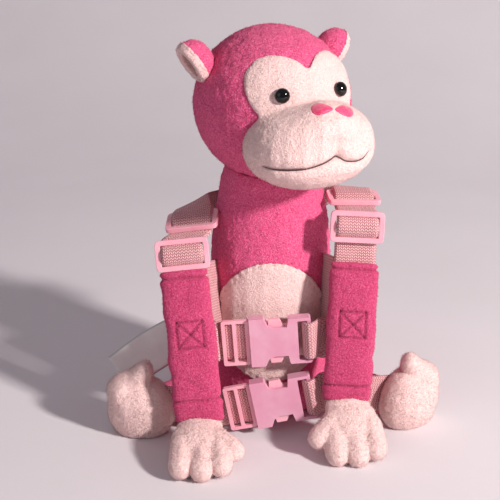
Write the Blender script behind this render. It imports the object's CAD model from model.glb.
"""Looks of the plush monkey harness: plush, webbing, buckles, label, floor, light and camera."""
import math

import bmesh
import bpy
import numpy as np
from mathutils import Matrix, Vector, noise
from mathutils.bvhtree import BVHTree
from mathutils.kdtree import KDTree


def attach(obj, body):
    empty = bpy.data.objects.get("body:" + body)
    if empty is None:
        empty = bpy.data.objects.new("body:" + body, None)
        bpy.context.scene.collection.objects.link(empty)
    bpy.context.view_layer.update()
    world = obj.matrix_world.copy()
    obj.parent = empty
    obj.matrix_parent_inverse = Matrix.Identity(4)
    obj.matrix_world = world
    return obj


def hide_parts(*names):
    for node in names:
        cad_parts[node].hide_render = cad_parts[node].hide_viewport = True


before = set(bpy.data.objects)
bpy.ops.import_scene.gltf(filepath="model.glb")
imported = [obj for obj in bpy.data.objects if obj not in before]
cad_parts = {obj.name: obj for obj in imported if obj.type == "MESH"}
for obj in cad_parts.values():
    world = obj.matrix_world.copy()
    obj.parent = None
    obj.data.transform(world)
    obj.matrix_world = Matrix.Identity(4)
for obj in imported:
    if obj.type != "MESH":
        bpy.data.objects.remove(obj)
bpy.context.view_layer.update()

MM = 0.001
rng = np.random.default_rng(11)

# ---------------------------------------------------------------- sizes shared with the CAD, in mm

BODY_HEIGHT, BODY_WIDTH, BODY_DEPTH = 164, 76, 66
HEAD_CENTRE = Vector((0, -5, 199))
HEAD_TURN = math.radians(29.5)
MUZZLE_FORWARD = 41
EAR_OUT, EAR_BACK, EAR_UP, EAR_LINING = 47, 7.5, 27, -0.5
BELLY_WIDTH, BELLY_HEIGHT, BELLY_UP = 68, 78, 69
SLEEVE_WIDTH, SLEEVE_THICK = 29, 11
FOOT_WIDTH, FOOT_HEIGHT = 42, 37
WEB_WIDTH, WEB_THICK = 25, 1.6
SLIDE_HEIGHT, SLIDE_THICK = 18, 2.4
SOCKET_LENGTH, SOCKET_THICK, LOOP_LENGTH = 29, 7, 8
LADDER_LENGTH, LADDER_THICK, BUCKLE_BAR = 17, 2.4, 2.2
LABEL_LENGTH, LABEL_WIDTH, LABEL_UP, LABEL_THICK, LABEL_STEP = 64, 27, 52, 0.5, 1.0
GAP = 0.3

# Places on the straps as shares of half the body's width, half its depth and its height.
STRAPS = {
    "left": dict(sign=-1, top=(1.368, 1.242, 0.646), end=(1.132, 2.03, 0.122), slide_drop=0.035,
                 upper_slide=(1.263, 0.515, 0.787), upper_lean=10, crest=(1.263, -0.242, 0.811),
                 crest_lean=30, foot=(2.105, 1.303, 0), web_at_foot=0.51,
                 hem=4, cuff=13, cross=37.5),
    "right": dict(sign=1, top=(1.289, 1.212, 0.671), end=(1.184, 1.727, 0.177), slide_drop=0.72,
                  upper_slide=(1.316, 0.242, 0.86), upper_lean=2, crest=(1.263, -0.394, 0.86),
                  crest_lean=6, foot=(2.29, 0.94, 0), web_at_foot=0.54,
                  hem=3, cuff=9.5, cross=35.5),
}
BUCKLES = {
    "upper": dict(out=0.04, ahead=0.52, up=0.384, rise=4),
    "lower": dict(out=0.092, ahead=0.68, up=0.149, rise=11),
}
BOX_STITCH, STITCH_PITCH, STITCH_LENGTH, STITCH_RADIUS = 15.5, 2.7, 1.9, 0.2

# The coarse cloth skin that blows up stuffed pieces, and how many of its points move a fine one.
SKIN_VOXEL, SKIN_PRESSURE, SKIN_FRAMES, SKIN_NEIGHBOURS = 4.5, 4, 20, 6
TUFT_WIDTH, TUFT_ROOT, NAP, LIMB_NAP = 0.3, 0.25, 1.05, 1.5
TAPE_STEP, TAPE_RIBS, TAPE_EDGE = 0.7, 14, 0.93
MERGE_SWELL, LOWEST_SKIN, LOWEST_TUFT = 0.35, 0.15, 0.1
ALMOST_NONE = 1e-9

# ---------------------------------------------------------------- camera

CAMERA_TARGET = Vector((-0.013, 0, 0.104))
CAMERA_DISTANCE, CAMERA_ELEVATION, CAMERA_LENS = 0.65, math.radians(20), 74.3


def add_object(name, data):
    """A new object in the scene's own collection."""
    obj = bpy.data.objects.new(name, data)
    bpy.context.scene.collection.objects.link(obj)
    return obj


def aim(obj, where, target):
    """Puts a camera or a light in its place, in metres, and turns it to its target."""
    obj.location = where
    obj.rotation_euler = (Vector(target) - Vector(where)).to_track_quat("-Z", "Y").to_euler()


camera_data = bpy.data.cameras.new("camera")
camera_data.sensor_width = 36
camera_data.lens = CAMERA_LENS
camera = add_object("camera", camera_data)
aim(camera, CAMERA_TARGET + CAMERA_DISTANCE * Vector(
    (0, -math.cos(CAMERA_ELEVATION), math.sin(CAMERA_ELEVATION))), CAMERA_TARGET)
bpy.context.scene.camera = camera

# ---------------------------------------------------------------- materials


def linear(code):
    """A display colour such as "f0478a" as linear red, green, blue and alpha."""
    values = [int(code[i:i + 2], 16) / 255 for i in (0, 2, 4)]
    return tuple(v / 12.92 if v <= 0.04045 else ((v + 0.055) / 1.055) ** 2.4
                 for v in values) + (1.0,)


class Nodes:
    """Short calls that add and link shader nodes."""

    def __init__(self, name):
        self.material = bpy.data.materials.new(name)
        self.material.use_nodes = True
        self.tree = self.material.node_tree
        self.shader = self.tree.nodes["Principled BSDF"]

    def add(self, kind, props=None, **inputs):
        node = self.tree.nodes.new(kind)
        for key, value in (props or {}).items():
            setattr(node, key, value)
        for key, value in inputs.items():
            self.put(node.inputs[int(key[1:]) if key[0] == "i" and key[1:].isdigit()
                                 else key.replace("_", " ")], value)
        return node

    def put(self, socket, value):
        """Links an output, or sets a number, or a colour given as its display code."""
        if isinstance(value, bpy.types.NodeSocket):
            self.tree.links.new(value, socket)
        else:
            socket.default_value = linear(value) if isinstance(value, str) else value

    def math(self, operation, a, b=0.0, c=0.0, clamp=False):
        return self.add("ShaderNodeMath", {"operation": operation, "use_clamp": clamp},
                        i0=a, i1=b, i2=c).outputs[0]

    def noise(self, scale, detail=2.0, roughness=0.5, stretch=None):
        where = self.add("ShaderNodeTexCoord").outputs["Object"]
        if stretch:
            where = self.add("ShaderNodeMapping", Vector=where, Scale=stretch).outputs[0]
        return self.add("ShaderNodeTexNoise", Vector=where, Scale=scale, Detail=detail,
                        Roughness=roughness).outputs[0]

    def ramp(self, value, *stops):
        node = self.add("ShaderNodeValToRGB", Fac=value)
        elements = node.color_ramp.elements
        while len(elements) < len(stops):
            elements.new(0.5)
        for element, (place, colour) in zip(elements, stops):
            element.position = place
            element.color = linear(colour) if isinstance(colour, str) else (colour,) * 3 + (1,)
        return node.outputs[0]

    def mix(self, factor, a, b):
        node = self.add("ShaderNodeMix", {"data_type": "RGBA"})
        self.put(node.inputs["Factor"], factor)
        self.put(node.inputs[6], a)
        self.put(node.inputs[7], b)
        return node.outputs[2]

    def bump(self, height, distance, strength=1.0, normal=None):
        node = self.add("ShaderNodeBump", Height=height, Distance=distance, Strength=strength)
        if normal:
            self.put(node.inputs["Normal"], normal)
        return node.outputs[0]

    def finish(self, **sockets):
        for key, value in sockets.items():
            self.put(self.shader.inputs[key.replace("_", " ")], value)
        return self.material


def plush(name, deep, base, lit, sheen, shade, relief=0.0013):
    """Short looped pile: clumps about a millimetre wide, lighter at their tips."""
    n = Nodes(name)
    clumps = n.noise(1050, 3, 0.6)
    strands = n.noise(3000, 1, 0.5)
    broad = n.noise(45, 2, 0.5)
    sewn = n.add("ShaderNodeAttribute", {"attribute_name": "sewn"}).outputs["Fac"]
    tone = n.math("ADD", n.math("MULTIPLY", clumps, 0.6), n.math("MULTIPLY", strands, 0.4))
    colour = n.ramp(tone, (0.34, deep), (0.5, base), (0.64, lit))
    colour = n.mix(n.ramp(broad, (0.35, 0.14), (0.7, 0.0)), colour, deep)
    colour = n.mix(n.math("MULTIPLY", sewn, 0.75, clamp=True), colour, shade)
    height = n.math("ADD", clumps, n.math("MULTIPLY", strands, 0.35))
    return n.finish(Base_Color=colour, Roughness=0.92, Specular_IOR_Level=0.15,
                    Sheen_Weight=0.35, Sheen_Roughness=0.5, Sheen_Tint=sheen,
                    Normal=n.bump(height, relief, 0.9))


def webbing_material(rib, along_pitch, slant_pitch):
    """Woven tape: fine ribs along its length, crossed by slanting flecks that turn at each rib."""
    n = Nodes("webbing")
    uv = n.add("ShaderNodeTexCoord").outputs["UV"]
    split = n.add("ShaderNodeSeparateXYZ", Vector=uv)
    along, across = split.outputs[0], split.outputs[1]
    slant = n.math("PINGPONG", across, rib / 2)
    phase = n.math("ADD", n.math("MULTIPLY", along, 2 * math.pi / along_pitch),
                   n.math("MULTIPLY", slant, 2 * math.pi / slant_pitch))
    fleck = n.math("MULTIPLY_ADD", n.math("SINE", phase), 0.5, 0.5)
    groove = n.math("ABSOLUTE", n.math("SINE", n.math("MULTIPLY", across, 2 * math.pi / rib)))
    height = n.math("MULTIPLY", fleck, n.math("POWER", groove, 0.6))
    worn = n.noise(160, 3)
    colour = n.ramp(height, (0.08, "b06a76"), (0.36, "da929a"), (0.85, "f9d2cc"))
    colour = n.mix(n.ramp(worn, (0.4, 0.0), (0.75, 0.3)), colour, "f3bcc2")
    fibre = n.noise(3000, 2, 0.5)
    return n.finish(Base_Color=colour, Roughness=0.7, Specular_IOR_Level=0.3, Sheen_Weight=0.25,
                    Sheen_Roughness=0.4,
                    Normal=n.bump(fibre, 0.0001, 0.3, n.bump(height, 0.00045, 0.9)))


def plastic(name, base, roughness, grain):
    """Moulded plastic with a faint grain and slightly paler handled patches."""
    n = Nodes(name)
    patches = n.noise(70, 3)
    colour = n.mix(n.ramp(patches, (0.4, 0.0), (0.7, 0.16)), base, (1, 0.86, 0.9, 1))
    gloss = n.math("MULTIPLY_ADD", n.noise(150, 2), 0.14, roughness - 0.07)
    return n.finish(Base_Color=colour, Roughness=gloss, Specular_IOR_Level=0.5,
                    Subsurface_Weight=0.12, Subsurface_Radius=(0.004, 0.002, 0.002),
                    Subsurface_Scale=0.5, Normal=n.bump(n.noise(grain, 2), 0.00012, 0.35))


def thread(name, dark, light):
    """Sewing thread, mottled by its twist."""
    n = Nodes(name)
    twist = n.noise(2600, 2, 0.6)
    return n.finish(Base_Color=n.ramp(twist, (0.35, dark), (0.65, light)), Roughness=0.6,
                    Sheen_Weight=0.3, Normal=n.bump(twist, 0.0002, 0.7))


pink_plush = plush("pink_plush", "cf3e72", "f05c8e", "ff8cb2", "ffa3c0", "8c1c44")
pale_plush = plush("pale_plush", "e9c0bd", "f5d0cc", "fee4e0", "ffe9e4", "c08c86", relief=0.0009)
sleeve_plush = plush("sleeve_plush", "b83460", "d54a79", "ea6d95", "ff9cbc", "6d1335")
webbing = webbing_material(rib=2.3, along_pitch=1.6, slant_pitch=1.5)
slide_plastic = plastic("slide_plastic", "f0a6b6", 0.3, 1800)
buckle_plastic = plastic("buckle_plastic", "d995ae", 0.42, 2600)
mouth_thread = thread("mouth_thread", "2a1417", "5b3338")
pink_thread = thread("pink_thread", "a81c50", "d83876")
pale_thread = thread("pale_thread", "efc0c0", "fbe2df")

n = Nodes("eye_plastic")
eye_plastic = n.finish(Base_Color=n.ramp(n.noise(300, 1), (0.4, "050404"), (0.7, "100b0a")),
                       Roughness=0.05, Specular_IOR_Level=0.4, Coat_Weight=0.2,
                       Coat_Roughness=0.03, Normal=n.bump(n.noise(400, 1), 0.00002, 0.2))

n = Nodes("nose_plush")
floss = n.noise(900, 2, 0.5, stretch=(0.35, 1, 2.2))
nose_plush = n.finish(Base_Color=n.ramp(floss, (0.35, "d92b62"), (0.7, "f4517f")),
                      Roughness=0.5, Sheen_Weight=0.4, Normal=n.bump(floss, 0.0004, 0.8))

n = Nodes("label_satin")
weave = n.noise(1500, 1, 0.5, stretch=(4, 1, 1))
smudge = n.ramp(n.noise(55, 3), (0.45, 0.0), (0.75, 0.5))
label_satin = n.finish(Base_Color=n.mix(smudge, "f6f3f0", "dcd3d3"), Roughness=0.45,
                       Sheen_Weight=0.2, Normal=n.bump(weave, 0.00008, 0.5))

# ---------------------------------------------------------------- mesh helpers


def new_object(name, verts_mm, faces, material):
    mesh = bpy.data.meshes.new(name)
    mesh.from_pydata([tuple(Vector(v) * MM) for v in verts_mm], [], faces)
    mesh.validate()
    mesh.materials.append(material)
    mesh.shade_smooth()
    return add_object(name, mesh)


def apply_modifiers(obj):
    """Keeps what the modifiers make as the object's own mesh."""
    depsgraph = bpy.context.evaluated_depsgraph_get()
    mesh = bpy.data.meshes.new_from_object(obj.evaluated_get(depsgraph))
    old = obj.data
    obj.modifiers.clear()
    obj.data = mesh
    bpy.data.meshes.remove(old)
    return obj


def copy_of(name, mesh, material):
    """A new object with a copy of a mesh, all in one material."""
    mesh = mesh.copy()
    mesh.name = name
    mesh.materials.clear()
    mesh.materials.append(material)
    return add_object(name, mesh)


def edit_mesh(obj, work):
    """Does some work on an object's mesh as a bmesh."""
    bm = bmesh.new()
    bm.from_mesh(obj.data)
    work(bm)
    bm.to_mesh(obj.data)
    bm.free()


def add_remesh(obj, voxel):
    remesh = obj.modifiers.new("remesh", "REMESH")
    remesh.mode = "VOXEL"
    remesh.voxel_size = voxel * MM


def points_of(obj):
    co = np.empty(len(obj.data.vertices) * 3)
    obj.data.vertices.foreach_get("co", co)
    return co.reshape(-1, 3) / MM


def set_points(obj, points):
    obj.data.vertices.foreach_set("co", (points * MM).ravel())
    obj.data.update()


def normals_of(obj):
    out = np.empty(len(obj.data.vertices) * 3)
    obj.data.vertices.foreach_get("normal", out)
    return out.reshape(-1, 3)


def hump(distance, width):
    """1 in the middle and falling off smoothly, by this distance and half-width."""
    return np.exp(-((distance / width) ** 2))


def unit_rows(rows):
    return rows / (np.linalg.norm(rows, axis=1)[:, None] + ALMOST_NONE)


def noise_at(points, pitch, seed=0.0):
    """Smooth noise at each point, from about -1 to 1."""
    shift = Vector((seed * 17.3, seed * 5.1, seed * 9.7))
    return np.array([noise.noise(Vector(p) / pitch + shift) for p in points])


def swell_by(obj, amount):
    set_points(obj, points_of(obj) + normals_of(obj) * amount)


def puffed(obj, points, cap):
    """Points moved as a coarse cloth skin moves when it is blown up, by no more than a cap."""
    skin = add_object(obj.name + "_skin", obj.data.copy())
    add_remesh(skin, SKIN_VOXEL)
    apply_modifiers(skin)
    rest = points_of(skin)
    cloth = skin.modifiers.new("cloth", "CLOTH")
    cloth.settings.use_pressure = True
    cloth.settings.uniform_pressure_force = SKIN_PRESSURE
    cloth.settings.effector_weights.gravity = 0
    cloth.point_cache.frame_start, cloth.point_cache.frame_end = 1, SKIN_FRAMES
    for step in range(1, SKIN_FRAMES + 1):
        bpy.context.scene.frame_set(step)
    apply_modifiers(skin)
    move = points_of(skin) - rest
    move *= np.minimum(1, cap / (np.linalg.norm(move, axis=1)[:, None] + ALMOST_NONE))
    bpy.context.scene.frame_set(1)
    bpy.data.objects.remove(skin)
    tree = KDTree(len(rest))
    for i, point in enumerate(rest):
        tree.insert(point, i)
    tree.balance()
    out = points.copy()
    for i, point in enumerate(points):
        near = tree.find_n(point, SKIN_NEIGHBOURS)
        weights = np.array([1 / (d * d + 1.0) for _, _, d in near])
        out[i] += (move[[k for _, k, _ in near]] * weights[:, None]).sum(0) / weights.sum()
    return out


def soft_form(name, nodes, material, voxel, smooth, swell, pebble, shape=None, puff=0):
    """CAD solids of a stuffed piece, remeshed finely, rounded off and given a pebbled nap."""
    sources = [copy_of(f"{name}_{i}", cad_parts[node].data, material)
               for i, node in enumerate(nodes)]
    if len(sources) > 1:
        for source in sources:
            swell_by(source, MERGE_SWELL)
    obj = join(name, sources)
    add_remesh(obj, voxel * (1))
    relax = obj.modifiers.new("relax", "SMOOTH")
    relax.factor = 0.5
    relax.iterations = smooth
    apply_modifiers(obj)
    if puff:
        set_points(obj, puffed(obj, points_of(obj), puff))
    points = points_of(obj)
    normals = normals_of(obj)
    lift = swell + pebble * noise_at(points, 1.7) + pebble * 0.6 * noise_at(points, 0.9, 1)
    lift += pebble * 1.2 * noise_at(points, 7, 2)
    moved = points + normals * lift[:, None]
    if shape is not None:
        moved = shape(moved, normals)
    moved[:, 2] = np.maximum(moved[:, 2], LOWEST_SKIN)
    set_points(obj, moved)
    obj.data.shade_smooth()
    obj.data.update()
    return obj


def mark_sewn(obj, amount):
    """How deep each point lies in a seam, which the plush material darkens."""
    layer = obj.data.attributes.new("sewn", "FLOAT", "POINT")
    layer.data.foreach_set("value", np.clip(amount, 0, 1).astype(np.float32))


def skin_of(obj):
    """A surface to drop threads onto, in mm."""
    faces = [tuple(p.vertices) for p in obj.data.polygons]
    return BVHTree.FromPolygons([Vector(p) for p in points_of(obj)], faces)


def near_line(points, line):
    """Distance of each flat point to a line through flat points."""
    best = np.full(len(points), 1e9)
    for a, b in zip(line[:-1], line[1:]):
        a, b = np.array(a, float), np.array(b, float)
        t = np.clip(((points - a) @ (b - a)) / max(((b - a) ** 2).sum(), ALMOST_NONE), 0, 1)
        best = np.minimum(best, np.linalg.norm(points - a - t[:, None] * (b - a), axis=1))
    return best


def finish_piece(obj, slot, *nodes):
    """Hands a piece over, with its slot and the CAD nodes it stands for."""
    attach(obj, "root")
    if nodes:
        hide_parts(*nodes)
    return obj


def pile(owner, slot, density, length):
    """Closed tufts standing off a plush piece, one slender spike each."""
    mesh = owner.data
    mesh.calc_loop_triangles()
    tris = np.empty(len(mesh.loop_triangles) * 3, np.int32)
    mesh.loop_triangles.foreach_get("vertices", tris)
    points = points_of(owner)
    a, b, c = (points[tris.reshape(-1, 3)[:, k]] for k in range(3))
    cross = np.cross(b - a, c - a)
    area = np.linalg.norm(cross, axis=1) / 2
    count = int(area.sum() * density * (1))
    pick = rng.choice(len(area), count, p=area / area.sum())
    u, v = rng.random(count), rng.random(count)
    flip = u + v > 1
    u[flip], v[flip] = 1 - u[flip], 1 - v[flip]
    root = a[pick] + (b - a)[pick] * u[:, None] + (c - a)[pick] * v[:, None]
    normal = cross[pick] / (2 * area[pick][:, None] + ALMOST_NONE)
    lean = unit_rows(normal + rng.normal(0, 0.6, (count, 3)))
    side = unit_rows(np.cross(normal, rng.normal(0, 1, (count, 3))))
    other = np.cross(normal, side)
    foot = root - normal * TUFT_ROOT
    tip = root + lean * length * rng.uniform(0.5, 1.1, count)[:, None]
    ring = [foot + (side * math.cos(t) + other * math.sin(t)) * TUFT_WIDTH / 2
            for t in (0, 2 * math.pi / 3, 4 * math.pi / 3)]
    corners = np.stack(ring + [tip], 1)
    corners[:, :, 2] = np.maximum(corners[:, :, 2], LOWEST_TUFT)
    spike = np.array([(0, 2, 1), (0, 1, 3), (1, 2, 3), (2, 0, 3)])
    loops = (spike[None] + 4 * np.arange(count)[:, None, None]).ravel().astype(np.int32)
    tufts = bpy.data.meshes.new(owner.name + "_pile")
    tufts.vertices.add(count * 4)
    tufts.vertices.foreach_set("co", corners.reshape(-1) * MM)
    tufts.loops.add(len(loops))
    tufts.loops.foreach_set("vertex_index", loops)
    tufts.polygons.add(count * 4)
    tufts.polygons.foreach_set("loop_start", np.arange(0, len(loops), 3, dtype=np.int32))
    tufts.update(calc_edges=True)
    tufts.materials.append(mesh.materials[0])
    return finish_piece(add_object(owner.name + "_pile", tufts), slot)


def ring_faces(rows, around):
    """Quads between rows of points, each row a closed ring."""
    return [(i * around + j, i * around + (j + 1) % around, (i + 1) * around + (j + 1) % around,
             (i + 1) * around + j) for i in range(rows - 1) for j in range(around)]


def end_caps(rows, around):
    return [tuple(range(around - 1, -1, -1)),
            tuple((rows - 1) * around + j for j in range(around))]


def catmull(points, count):
    """Evenly read points of a smooth line through the given ones."""
    p = np.array([tuple(q) for q in points], float)
    p = np.vstack([2 * p[0] - p[1], p, 2 * p[-1] - p[-2]])
    gaps = np.sqrt(np.linalg.norm(np.diff(p, axis=0), axis=1))
    knots = np.concatenate([[0], np.cumsum(np.maximum(gaps, 1e-4))])
    out = []
    for t in np.linspace(knots[1], knots[-2], count):
        i = min(max(int(np.searchsorted(knots, t, "right")) - 1, 1), len(p) - 3)
        k = knots[i - 1:i + 3]
        q = p[i - 1:i + 3]
        a = [(k[j + 1] - t) / (k[j + 1] - k[j]) * q[j]
             + (t - k[j]) / (k[j + 1] - k[j]) * q[j + 1] for j in range(3)]
        b = [(k[j + 2] - t) / (k[j + 2] - k[j]) * a[j]
             + (t - k[j]) / (k[j + 2] - k[j]) * a[j + 1] for j in range(2)]
        out.append((k[2] - t) / (k[2] - k[1]) * b[0] + (t - k[1]) / (k[2] - k[1]) * b[1])
    return np.array(out)


def tape(name, stations, material, width=WEB_WIDTH, thick=WEB_THICK, step=TAPE_STEP):
    """A woven tape through stations of a point and a width direction, with rounded edges."""
    rough = catmull([s[0] for s in stations], 200)
    length = np.linalg.norm(np.diff(rough, axis=0), axis=1).sum()
    count = max(int(length / step), 8)
    centres = catmull([s[0] for s in stations], count)
    share = np.linspace(0, 1, count)
    # width directions are read against the same share of the line as the points
    cuts = [np.argmin(np.linalg.norm(centres - np.array(tuple(s[0])), axis=1)) / (count - 1)
            for s in stations]
    cuts[0], cuts[-1] = 0, 1
    directions = np.array([tuple(s[1]) for s in stations], float)
    across = np.stack([np.interp(share, cuts, directions[:, k]) for k in range(3)], 1)
    along = unit_rows(np.gradient(centres, axis=0))
    across = unit_rows(across - along * (across * along).sum(1)[:, None])
    through = np.cross(along, across)
    profile = []
    for i in range(TAPE_RIBS + 1):
        a = -1 + 2 * i / TAPE_RIBS
        edge = max(0.0, abs(a) - TAPE_EDGE) / (1 - TAPE_EDGE)
        profile.append((a, math.sqrt(max(1 - edge ** 2, 0.0)) * 0.5))
    ring = [(a, h) for a, h in profile] + [(a, -h) for a, h in profile[-2:0:-1]]
    verts, uvs = [], []
    travel = np.concatenate([[0], np.cumsum(np.linalg.norm(np.diff(centres, axis=0), axis=1))])
    for i in range(count):
        for a, h in ring:
            verts.append(centres[i] + across[i] * a * width / 2 + through[i] * h * thick)
            uvs.append((travel[i], (a + 1) * width / 2))
    faces = ring_faces(count, len(ring)) + end_caps(count, len(ring))
    obj = new_object(name, verts, faces, material)
    layer = obj.data.uv_layers.new(name="weave")
    for loop in obj.data.loops:
        layer.data[loop.index].uv = uvs[loop.vertex_index]
    normal_fix(obj)
    return obj


def normal_fix(obj):
    edit_mesh(obj, lambda bm: bmesh.ops.recalc_face_normals(bm, faces=bm.faces))


ASKEW = np.array([0.13, 0.31, 0.94])  # lies along no thread


def cordlet(name, points, radius, material, taper, sides):
    """A thread through the points, thinner at its ends."""
    line = catmull(points, max(len(points) * 6, 12))
    along = unit_rows(np.gradient(line, axis=0))
    verts = []
    for i, centre in enumerate(line):
        side = np.cross(along[i], ASKEW)
        side /= np.linalg.norm(side)
        other = np.cross(along[i], side)
        ends = min(i, len(line) - 1 - i) / (len(line) * taper)
        r = radius * min(1, 0.35 + 0.65 * ends)
        verts += [centre + r * (side * math.cos(t) + other * math.sin(t))
                  for t in np.linspace(0, 2 * math.pi, sides, endpoint=False)]
    faces = ring_faces(len(line), sides) + end_caps(len(line), sides)
    obj = new_object(name, verts, faces, material)
    normal_fix(obj)
    return obj


def join(name, objects):
    """One object out of several."""
    bm = bmesh.new()
    for obj in objects:
        bm.from_mesh(obj.data)
    mesh = objects[0].data
    bm.to_mesh(mesh)
    bm.free()
    objects[0].name = name
    mesh.name = name
    for obj in objects[1:]:
        old = obj.data
        bpy.data.objects.remove(obj)
        bpy.data.meshes.remove(old)
    return objects[0]


def merge_flats(bm):
    bmesh.ops.remove_doubles(bm, verts=bm.verts, dist=2e-6)
    bmesh.ops.dissolve_limit(bm, angle_limit=math.radians(2), verts=bm.verts, edges=bm.edges)


def moulded(name, node, material, bevel, fuller=0.0):
    """A CAD plastic piece with its flats merged and its edges rounded."""
    obj = copy_of(name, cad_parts[node].data, material)
    edit_mesh(obj, merge_flats)
    round_off = obj.modifiers.new("round", "BEVEL")
    round_off.width = bevel * MM
    round_off.segments = 3
    round_off.limit_method = "ANGLE"
    round_off.angle_limit = math.radians(35)
    apply_modifiers(obj)
    swell_by(obj, fuller)
    obj.data.shade_smooth()
    weighted = obj.modifiers.new("weighted", "WEIGHTED_NORMAL")
    weighted.keep_sharp = False
    apply_modifiers(obj)
    return obj


# ---------------------------------------------------------------- plush body, head and limbs

head_place = Matrix.Translation(HEAD_CENTRE) @ Matrix.Rotation(HEAD_TURN, 4, "Z")
HEAD_AXES = np.array(head_place.to_3x3())

# The mouth's seam as seen from the face's own front: across and up from the head's middle.
MOUTH = ((-35.5, -22.4), (-33, -23.0), (-29.7, -23.1), (-24.6, -22.8), (-19, -22.3), (-13.5, -21.3),
         (-8.3, -19.8), (-3.6, -18.3), (-0.7, -17.4), (0.7, -17.3), (2.6, -18.1), (5.8, -20.2),
         (9.1, -21.1), (12.8, -21.7), (16.1, -21.8), (19.3, -21.3), (22.1, -20.2), (25.5, -18.6))
PHILTRUM = ((0.6, -17.3), (0.3, -7.5))
FACE_FRONT = -38  # what is ahead of this has the mouth's seam


def in_head(points):
    """Points as the head sees them, from its middle."""
    return (points - np.array(HEAD_CENTRE)) @ HEAD_AXES


def face_shape(points, normals):
    """Mouth seam, the cleft above it and the fullness of the cheeks on either side."""
    local = in_head(points)
    ahead = local[:, 1] < FACE_FRONT
    flat = local[:, [0, 2]]
    seam, cleft = near_line(flat, MOUTH), near_line(flat, PHILTRUM)
    lift = 0.7 * hump(seam - 5, 3.5) - 1.5 * hump(seam, 1.3) - 0.9 * hump(cleft, 2.2)
    snout = hump(local[:, 0], 14) * hump(local[:, 1] + 57, 9) * hump(local[:, 2] - 9, 8)
    return points + normals * (lift * ahead)[:, None] \
        + np.outer(snout, HEAD_AXES @ np.array([0, -1.3, 2.2]))


def back_seam(points, normals, across):
    """The sewn seam down the middle of the back, where across is nought."""
    behind = points[:, 1] > HEAD_CENTRE.y
    lift = 0.25 * hump(np.abs(across) - 2.6, 1.6) - hump(across, 0.9)
    return points + normals * (lift * behind)[:, None]


def head_shape(points, normals):
    return back_seam(points, normals, in_head(points)[:, 0])


def torso_shape(points, normals):
    return back_seam(points, normals, points[:, 0])


def patch_shape(points, normals):
    """Small tucks where the belly patch is sewn down along its rim."""
    across = points[:, 0] / (BELLY_WIDTH / 2)
    up = (points[:, 2] - BELLY_UP) / (BELLY_HEIGHT / 2)
    reach, around = np.hypot(across, up), np.arctan2(up, across)
    rim = hump(reach - 0.96, 0.035)
    return points + normals * (-rim * (0.55 + 0.3 * np.sin(around * 46)))[:, None]


head = soft_form("head_plush", ["head"], pink_plush, voxel=1.0, smooth=26, swell=0.5,
                 pebble=0.4, shape=head_shape)
finish_piece(head, "pink_plush", "head")
torso = soft_form("torso_plush", ["torso"], pink_plush, voxel=1.1, smooth=24, swell=0.4,
                  pebble=0.42, puff=0.8, shape=torso_shape)
finish_piece(torso, "pink_plush", "torso")
face = soft_form("face_plush", ["face_mask", "muzzle"], pale_plush, voxel=0.83, smooth=14,
                 swell=-0.7, pebble=0.24, shape=face_shape)
finish_piece(face, "pale_plush", "face_mask", "muzzle")
face_local = in_head(points_of(face))
face_flat = face_local[:, [0, 2]]
mark_sewn(face, (face_local[:, 1] < FACE_FRONT) * (
    0.6 * hump(near_line(face_flat, MOUTH), 0.9) + 0.3 * hump(near_line(face_flat, PHILTRUM), 1.2)))
patch = soft_form("belly_patch_plush", ["belly_patch"], pale_plush, voxel=0.85, smooth=8,
                  swell=0.45, pebble=0.2, shape=patch_shape)
finish_piece(patch, "pale_plush", "belly_patch")

# Each with its slot and how many tufts stand on a square millimetre.
plush_pieces = [(head, "pink_plush", 0.7), (torso, "pink_plush", 0.3), (face, "pale_plush", 0.7),
                (patch, "pale_plush", 0.6)]


def place(sign, shares):
    """A place given as shares of the body's half width, half depth and height."""
    out, front, up = shares
    return Vector((sign * out * BODY_WIDTH / 2, -front * BODY_DEPTH / 2, up * BODY_HEIGHT))


def square_to(direction, line):
    """The part of a direction that is square to a line."""
    return (direction - line * direction.dot(line)).normalized()


def strap_frame(strap):
    """One side's strap with its sleeve's ends and directions."""
    top, end = place(strap["sign"], strap["top"]), place(strap["sign"], strap["end"])
    down = (end - top).normalized()
    across = square_to(Vector((1, 0, 0)), down)
    return dict(strap, top_at=top, end_at=end, down=down, across=across,
                face=down.cross(across).normalized(), length=(end - top).length,
                foot_at=place(strap["sign"], strap["foot"]),
                web_at_foot=strap["web_at_foot"] * FOOT_HEIGHT)


frames = {side: strap_frame(strap) for side, strap in STRAPS.items()}


def crossed_box(half, low, high):
    """Sewing lines of a rectangle and its two diagonals."""
    corners = [(-half, low), (half, low), (half, high), (-half, high)]
    return [corners + corners[:1], corners[0::2], [corners[1], corners[3]]]


def seams_of(f):
    """Sewing lines on a sleeve's front, as places across and along it."""
    half, box, cross = SLEEVE_WIDTH / 2 - 0.5, BOX_STITCH / 2, f["cross"]
    cuff = f["length"] - f["cuff"]
    return dict(box=crossed_box(box, cross - box, cross + box),
                rows=[[(-half, f["hem"]), (half, f["hem"])], [(-half, cuff), (half, cuff)]])


def on_sleeve(f, points):
    """Points as across, along and out of a sleeve, from the middle of its top."""
    return (points - np.array(f["top_at"])) @ np.array([f["across"], f["down"], f["face"]]).T


# Soft creases across a sleeve: place as a share of its length, half-width and depth.
CREASES = ((0.22, 3, 0.25), (0.62, 3, 0.3), (0.76, 2.2, 0.6))


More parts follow.
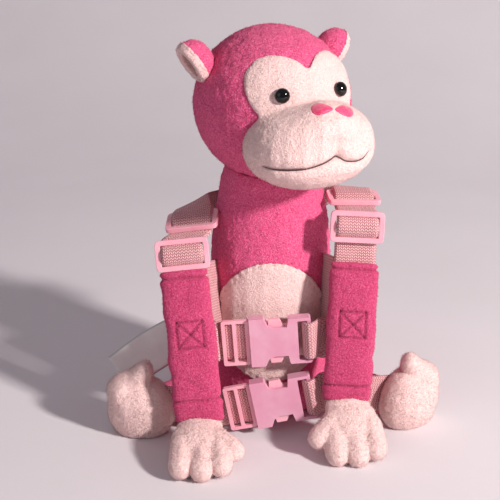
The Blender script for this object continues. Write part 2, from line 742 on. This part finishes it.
def sleeve_shape(f):
    """Seams, stitched box, soft creases and an uneven outline for one sleeve."""
    seams = seams_of(f)

    def shape(points, normals):
        local = on_sleeve(f, points)
        flat, front = local[:, :2], local[:, 2] > 0
        lift = np.zeros(len(points))
        for line in seams["box"]:
            lift -= front * 0.95 * hump(near_line(flat, line), 0.75)
        for line in seams["rows"]:
            near = near_line(flat, line)
            lift -= 1.25 * hump(near, 0.9) - 0.35 * hump(near - 2.6, 1.4)
        ruck = local[:, 1] + 0.5 * local[:, 0] * f["sign"] + 2 * noise_at(points, 11, 4)
        for at, wide, deep in CREASES:
            lift -= deep * hump(ruck - at * f["length"], wide)
        lift += 0.7 * noise_at(points, 16, 5)
        edge = 0.7 * noise_at(points * np.array([0.2, 1, 1]), 17, 6)
        moved = points + normals * lift[:, None]
        sideways = np.clip(np.abs(local[:, 0]) / (SLEEVE_WIDTH / 2), 0, 1) ** 3
        return moved + np.outer(edge * sideways, np.array(f["across"]))

    return shape


EAR_AXIS, RIM_SWELL = (0.824, -0.566), 0.3  # the way an ear opens, outwards and up


def ear_rim(ear, f):
    """The pale lining rolled over the open side of an ear."""
    rim = copy_of(ear.name.replace("outer", "rim"), ear.data, pale_plush)
    out = (in_head(points_of(ear)) - np.array([f["sign"] * EAR_OUT, EAR_BACK, EAR_UP])) \
        @ np.array([f["sign"] * EAR_AXIS[0], 0, EAR_AXIS[1]])
    swell_by(rim, RIM_SWELL)

    def cut(bm):
        bm.verts.ensure_lookup_table()
        gone = [v for v in bm.verts if out[v.index] < EAR_LINING]
        bmesh.ops.delete(bm, geom=gone, context="VERTS")

    edit_mesh(rim, cut)
    return finish_piece(rim, "pale_plush")


TOE_IN, TOE_PINCH, TOE_RISE = 2.5, 0.1, 7


def foot_shape(f):
    """The fuller outer side of a foot and the dip between it and the toe."""
    def shape(points, normals):
        out = f["sign"] * (points[:, 0] - f["foot_at"].x)
        up = points[:, 2]
        lift = 2.4 * hump(out - 13, 8) * hump(up - 29, 8)
        lift -= 0.9 * hump(out - 6, 3) * hump(up - 38, 5)
        lift += 0.7 * noise_at(points, 12, 8)
        moved = points + normals * lift[:, None]
        pinch = TOE_PINCH * np.clip((up - FOOT_HEIGHT) / TOE_RISE, 0, 1)
        moved[:, 0] -= f["sign"] * (out + TOE_IN) * pinch
        return moved

    return shape


def stitches(name, f, skin, lines, material, slot):
    """Short threads laid along sewing lines on the front of a sleeve or a tape."""
    threads = []
    for line in lines:
        for a, b in zip(line[:-1], line[1:]):
            a, b = Vector(a), Vector(b)
            count = max(int((b - a).length / STITCH_PITCH), 1)
            for i in range(count):
                mid = a.lerp(b, (i + 0.5) / count)
                run = (b - a).normalized() * STITCH_LENGTH / 2
                dots = []
                for flat, sink in ((mid - run, -0.25), (mid, 0.22), (mid + run, -0.25)):
                    start = f["top_at"] + f["across"] * flat.x + f["down"] * flat.y \
                        + f["face"] * SLEEVE_THICK * 2
                    hit = skin.ray_cast(start, -f["face"])[0]
                    if hit is not None:
                        dots.append(hit + f["face"] * sink)
                if len(dots) == 3:
                    threads.append(cordlet("stitch", dots, STITCH_RADIUS, material, 0.3, 4))
    return finish_piece(join(name, threads), slot)


# The stuffed parts of each side: node, slot, material, voxel, smoothing, swell, tufts on a square
# millimetre and how far their cloth may billow.
LIMBS = (
    ("arm", "pink_plush", sleeve_plush, 0.75, 22, 0.6, 0.8, 1.6),
    ("hand", "pale_plush", pale_plush, 0.8, 14, 0.6, 1.0, 0.9),
    ("foot", "pale_plush", pale_plush, 0.8, 16, 0.6, 1.0, 0.9),
    ("leg", "pink_plush", pink_plush, 1.1, 12, 0.3, 0.4, 1.5),
    ("ear_outer", "pink_plush", pink_plush, 0.62, 8, 0.3, 1.0, 0),
    ("ear_inner", "pale_plush", pale_plush, 0.62, 6, 0.3, 0.8, 0),
)
SEAM_SHADE = {"box": 0.58, "rows": 0.32}

for side, f in frames.items():
    shapes = {"arm": sleeve_shape(f), "foot": foot_shape(f)}
    for part, slot_name, material, voxel, smooth, swell, density, billow in LIMBS:
        node = f"{part}_{side}"
        obj = soft_form(f"{node}_plush", [node], material, voxel, smooth, swell, 0.22,
                        shapes.get(part), billow)
        finish_piece(obj, slot_name, node)
        plush_pieces.append((obj, slot_name, density))
        if part == "ear_outer":
            plush_pieces.append((ear_rim(obj, f), "pale_plush", 0.8))
        if part == "arm":
            seams = seams_of(f)
            flat = on_sleeve(f, points_of(obj))[:, :2]
            mark_sewn(obj, sum(
                depth * hump(np.min([near_line(flat, line) for line in seams[kind]], axis=0), 0.75)
                for kind, depth in SEAM_SHADE.items()))
            stitches(f"sleeve_stitches_{side}", f, skin_of(obj), seams["box"] + seams["rows"],
                     pink_thread, "pink_plush")
    eye = soft_form(f"eye_bead_{side}", [f"eye_{side}"], eye_plastic, voxel=0.35, smooth=6,
                    swell=0.05, pebble=0)
    finish_piece(eye, "eye_plastic", f"eye_{side}")

for obj, slot_name, density in plush_pieces:
    pile(obj, slot_name, density, LIMB_NAP if obj.name.startswith(("hand", "foot")) else NAP)

# ---------------------------------------------------------------- straps, slides and buckles


def width_vector(lean, sign):
    """The way a strap's width runs when its outer edge leans down by this many degrees."""
    return Vector((math.cos(math.radians(lean)), 0, -sign * math.sin(math.radians(lean))))


def slide_pose(centre, along, across):
    """A slide's middle, and its directions down, across and out."""
    down = along.normalized()
    wide = square_to(across, down)
    return centre, down, wide, down.cross(wide)


def slides_of(f):
    sign = f["sign"]
    lower = f["top_at"] - f["down"] * SLIDE_HEIGHT * (0.5 + f["slide_drop"]) \
        + f["face"] * (SLIDE_THICK / 2)
    upper = place(sign, f["upper_slide"])
    crest = place(sign, f["crest"])
    along = (lower - crest).normalized() + (upper - crest).normalized()
    return dict(lower=slide_pose(lower, f["down"], f["across"]),
                upper=slide_pose(upper, along, width_vector(f["upper_lean"], sign)))


# Webbing through a slide: how far along it and how high over its plane, as shares.
UPPER_WEAVE = ((-0.62, 1.1), (-0.42, 1.1), (-0.2, 1.1), (0.05, 1.0), (0.27, -0.2), (0.42, -1))
LOWER_WEAVE = ((-0.62, -0.9), (-0.42, -0.95), (-0.27, 0.35), (-0.12, 1.15), (0.12, 1.15),
               (0.27, 0.35), (0.42, -0.95), (0.62, -0.9))


def weave_through(pose, rows):
    """Stations of webbing that goes through a slide."""
    centre, down, wide, face = pose
    lift = SLIDE_THICK / 2 + WEB_THICK / 2 + 0.4
    return [(centre + down * (a * SLIDE_HEIGHT) + face * (h * lift), wide) for a, h in rows]


# The body's outline: height, half width, half depth and how far forward, as shares.
BODY_ROWS = np.array([
    (0.00, 0.80, 0.78, 0.00), (0.03, 0.91, 0.90, 0.00), (0.10, 0.99, 0.99, 0.02),
    (0.30, 1.00, 1.03, 0.03), (0.55, 0.98, 0.99, 0.02), (0.72, 0.95, 0.94, 0.00),
    (0.86, 0.85, 0.85, 0.00), (0.94, 0.79, 0.79, 0.03), (1.00, 0.70, 0.70, 0.06)])
BACK_ANGLE = math.radians(34)  # where the webbing is sewn on, outwards from straight behind
UPRIGHT = Vector((0, 0, 1))


def back_seat(sign, up, rise=0.0):
    """A station of webbing that lies on the back, or rises off it."""
    wide, deep, front = (np.interp(up / BODY_HEIGHT, BODY_ROWS[:, 0], BODY_ROWS[:, k])
                         for k in (1, 2, 3))
    s, c = math.sin(BACK_ANGLE), math.cos(BACK_ANGLE)
    point = Vector((sign * wide * BODY_WIDTH / 2 * s,
                    deep * BODY_DEPTH / 2 * c - front * BODY_DEPTH, up))
    return point + Vector((sign * s, c, 0)) * (GAP + WEB_THICK * 0.75 + rise), \
        Vector((c, -sign * s, 0))


def sleeve_at(f, up):
    """The middle of a sleeve at this height."""
    share = (f["top_at"].z - up) / (f["top_at"].z - f["end_at"].z)
    return f["top_at"].lerp(f["end_at"], share)


SIDE_SWING = math.radians(72)  # how far the side webbing turns its edge to the front

for side, f in frames.items():
    sign = f["sign"]
    slides = slides_of(f)
    anchor = place(sign, f["crest"]).z * 0.76
    stations = [
        back_seat(sign, anchor), back_seat(sign, anchor * 1.1, 1.2),
        back_seat(sign, anchor * 1.22, 5),
        (place(sign, f["crest"]), width_vector(f["crest_lean"], sign)),
        *weave_through(slides["upper"], UPPER_WEAVE)[1:],
        *weave_through(slides["lower"], LOWER_WEAVE)[1:-1],
        (f["top_at"] + f["down"] * 4 - f["face"] * 0.5, f["across"])]
    web = tape(f"shoulder_web_{side}_woven", stations, webbing)
    finish_piece(web, "webbing", f"shoulder_web_{side}")
    sewn_at, sewn_across = back_seat(sign, anchor)
    stitches(f"web_stitches_{side}",
             dict(top_at=sewn_at, across=sewn_across, down=UPRIGHT,
                  face=Vector((sign * math.sin(BACK_ANGLE), math.cos(BACK_ANGLE), 0))),
             skin_of(web), crossed_box(WEB_WIDTH * 0.36, WEB_WIDTH * 0.12, WEB_WIDTH * 0.68),
             pale_thread, "webbing")
    for level in ("upper", "lower"):
        name = f"slide_{level}_{side}"
        slide = moulded(name + "_moulded", name, slide_plastic, 1.0, fuller=0.4)
        finish_piece(slide, "slide_plastic", name)

    bottom = BUCKLES["upper"]["up"] * BODY_HEIGHT - WEB_WIDTH / 2
    stations = []
    for share in (0.02, 0.3, 0.65, 1):
        up = f["top_at"].z + (bottom - f["top_at"].z) * share
        centre = sleeve_at(f, up)
        back = centre.y + SLEEVE_THICK / 2 + 3 * GAP + WEB_THICK
        inner = abs(centre.x) - SLEEVE_WIDTH / 2 + 2 * WEB_THICK
        edge = Vector((sign * math.cos(SIDE_SWING), -math.sin(SIDE_SWING), 0))
        stations.append((Vector((sign * inner, back, up)) - edge * (WEB_WIDTH / 2), edge))
    finish_piece(tape(f"side_web_{side}_woven", stations, webbing), "webbing", f"side_web_{side}")


def buckle_at(b):
    return Vector((b["out"] * BODY_WIDTH / 2, -(BODY_DEPTH / 2 + b["ahead"] * WEB_WIDTH),
                   b["up"] * BODY_HEIGHT))


def buckle_place(b):
    """Turns a buckle lying flat to its place on the belly."""
    return Matrix.Translation(buckle_at(b)) @ Matrix.Rotation(math.radians(-b["rise"]), 4, "Y") \
        @ Matrix.Rotation(math.pi / 2, 4, "X")


def upper_reach(f, b):
    """Stations from the upper buckle to the back of a sleeve."""
    up = buckle_at(b).z
    centre = sleeve_at(f, up)
    behind = centre.y + SLEEVE_THICK / 2 + 1.5 * GAP + WEB_THICK / 2
    inner = abs(centre.x) - SLEEVE_WIDTH / 2
    return [(Vector((f["sign"] * (inner + turns * WEB_THICK), behind, up)), -f["down"])
            for turns in (0, 4)]


def lower_reach(f, b):
    """Stations from the lower buckle to a foot."""
    middle = buckle_at(b)
    start, end = middle.y, f["foot_at"].y
    near, far = BODY_WIDTH * 0.48, abs(f["foot_at"].x) - FOOT_WIDTH * 0.3
    up_end = (middle.z + f["sign"] * WEB_WIDTH * 0.2) * 0.6 + f["web_at_foot"] * 0.4
    return [(Vector((f["sign"] * out, y, up)), UPRIGHT) for out, y, up in (
        (near, start + (end - start) * 0.35, up_end),
        ((near + far) / 2, start + (end - start) * 0.6, (up_end + f["web_at_foot"]) / 2),
        (far, end, f["web_at_foot"]))]


# Webbing through the ladder, as shares of its length and rises off its back, and round the loop's
# bar, as shares of the socket's thickness.
LADDER_WEAVE = ((-0.15, 0), (0.08, 0), (0.26, 1.0), (0.46, 0), (0.72, 1.3), (0.95, 0))
LOOP_WEAVE = ((-0.50, -0.42), (-0.46, 0.30), (0.00, 0.75), (0.50, 0.36), (0.85, -0.15))

for level, b in BUCKLES.items():
    pose = buckle_place(b)
    across = pose.to_3x3() @ Vector((0, 1, 0))
    reach_of = upper_reach if level == "upper" else lower_reach
    left_end = -SOCKET_LENGTH / 2 - LADDER_LENGTH
    behind = -(LADDER_THICK / 2 + WEB_THICK / 2 + 2 * GAP)
    laid = [(pose @ Vector((left_end + s * LADDER_LENGTH, 0, behind + rise)), across)
            for s, rise in LADDER_WEAVE]
    name = f"chest_web_{level}_left"
    finish_piece(tape(name + "_woven", reach_of(frames["left"], b)[::-1] + laid, webbing,
                      WEB_WIDTH - 2 * GAP), "webbing", name)
    bar = SOCKET_LENGTH / 2 + LOOP_LENGTH - BUCKLE_BAR / 2
    woven = [(pose @ Vector((bar + p * SOCKET_THICK, 0, o * SOCKET_THICK)), across)
             for p, o in LOOP_WEAVE]
    name = f"chest_web_{level}_right"
    finish_piece(tape(name + "_woven", woven + reach_of(frames["right"], b), webbing,
                      WEB_WIDTH - 2 * GAP), "webbing", name)
    for part, material, slot_name in (("plug", slide_plastic, "slide_plastic"),
                                      ("socket", buckle_plastic, "buckle_plastic")):
        name = f"buckle_{level}_{part}"
        finish_piece(moulded(name + "_moulded", name, material, 0.45), slot_name, name)

# ---------------------------------------------------------------- mouth and nose

face_skin = skin_of(face)
seam = []
for across, up in MOUTH:
    start = head_place @ Vector((across, -MUZZLE_FORWARD * 3, up))
    hit = face_skin.ray_cast(start, head_place.to_3x3() @ Vector((0, 1, 0)))[0]
    if hit is not None:
        seam.append(hit + (start - hit).normalized() * 0.3)
mouth = cordlet("mouth_seam", seam, 0.42, mouth_thread, 0.2, 8)
finish_piece(mouth, "eye_plastic")

# Nose puffs, placed across and up from the head's middle in the plane they look level in.
NOSE_TILT = math.radians(20)
NOSTRILS = {
    "left": dict(across=25.8, up=-11.5, half=6.5, high=3.8, taper=1),
    "right": dict(across=38.3, up=-11.7, half=6.0, high=3.8, taper=-1),
}
NOSTRIL_RISE, OUTSIDE = 1.05, 150


def nose_puff(side, across, up, half, high, taper):
    """A nostril as a raised puff that narrows towards the other one, laid on the muzzle."""
    inward = Vector((0, math.cos(NOSE_TILT), -math.sin(NOSE_TILT)))
    upward = Vector((0, math.sin(NOSE_TILT), math.cos(NOSE_TILT)))
    rings, around, verts = 8, 32, []
    for i in range(rings + 1):
        reach = i / rings
        for j in range(around):
            turn = 2 * math.pi * j / around
            c, s = math.cos(turn) * reach, math.sin(turn) * reach
            start = HEAD_CENTRE + Vector((across + half * c, 0, 0)) \
                + upward * (up + high * s * (1 - 0.5 * taper * c)) - inward * OUTSIDE
            hit = face_skin.ray_cast(start, inward)[0]
            lift = NOSTRIL_RISE * math.sqrt(1 - reach ** 2) - 0.4 * reach ** 4
            verts.append(hit - inward * lift)
    faces = ring_faces(rings + 1, around) + end_caps(rings + 1, around)[1:]
    obj = new_object(f"nostril_puff_{side}", verts, faces, nose_plush)
    normal_fix(obj)
    return finish_piece(obj, "nose_plush", f"nostril_{side}")


for side, values in NOSTRILS.items():
    nose_puff(side, **values)

# ---------------------------------------------------------------- care label

# Distance along the label, droop and sideways bend, as shares of its length, length and width.
LABEL_ROWS = ((0.00, 0.00, 0.00), (0.35, 0.10, 0.06), (0.70, 0.30, -0.02), (1.00, 0.50, 0.05))
body_side = BODY_WIDTH / 2 + GAP + 0.2
stations = [(Vector((-body_side - at * LABEL_LENGTH * 0.92, -at * 4 - bend * LABEL_WIDTH,
                     LABEL_UP - droop * LABEL_LENGTH)), Vector((0.1, 0.25, 1)).normalized())
            for at, droop, bend in LABEL_ROWS]
label = tape("care_label_ribbon", stations, label_satin, LABEL_WIDTH, LABEL_THICK, LABEL_STEP)
finish_piece(label, "label_satin", "care_label")

# ---------------------------------------------------------------- floor, backdrop and light


def floor_material():
    """Plain pale cloth."""
    n = Nodes("stage_cloth")
    threads = n.noise(1400, 1, 0.5)
    colour = n.mix(n.noise(7, 2), "dfd8dc", "e8e2e6")
    return n.finish(Base_Color=colour, Roughness=0.85, Normal=n.bump(threads, 0.0002, 0.3))


FLOOR_FRONT, FLOOR_BACK, FLOOR_SIDE, FLOOR_CURVE, WALL_TOP, FLOOR_STEPS = \
    -3000, 500, 2500, 900, 2600, 30
floor_rows = [(FLOOR_FRONT + (FLOOR_BACK - FLOOR_FRONT) * i / FLOOR_STEPS, 0)
              for i in range(FLOOR_STEPS)]
floor_rows += [(FLOOR_BACK + FLOOR_CURVE * math.sin(a), FLOOR_CURVE * (1 - math.cos(a)))
               for a in np.linspace(0, math.pi / 2, FLOOR_STEPS + 1)]
floor_rows.append((FLOOR_BACK + FLOOR_CURVE, WALL_TOP))
verts = [(side, y, z) for y, z in floor_rows for side in (-FLOOR_SIDE, FLOOR_SIDE)]
faces = [(2 * i, 2 * i + 1, 2 * i + 3, 2 * i + 2) for i in range(len(floor_rows) - 1)]
backdrop = new_object("backdrop", verts, faces, floor_material())

# Lights: place in metres, watts, size and colour. The key is the low sun from the right.
LIGHTS = {
    "key": ((1.28, -0.98, 0.92), 43, 0.16, (1.0, 0.95, 0.92)),
    "fill": ((-1.2, -1.2, 0.9), 3, 1.2, (0.93, 0.92, 1.0)),
}
LIGHT_TARGET = (0, 0, 0.12)
SKY_COLOUR, SKY_STRENGTH = (0.93, 0.9, 0.96, 1), 0.23

for name, (where, power, size, colour) in LIGHTS.items():
    data = bpy.data.lights.new(name, "AREA")
    data.energy = power
    data.size = size
    data.color = colour
    aim(add_object(name, data), where, LIGHT_TARGET)
world = bpy.data.worlds.new("world")
world.use_nodes = True
sky = world.node_tree.nodes["Background"].inputs
sky["Color"].default_value = SKY_COLOUR
sky["Strength"].default_value = SKY_STRENGTH
bpy.context.scene.world = world
bpy.context.scene.view_settings.view_transform = "Standard"
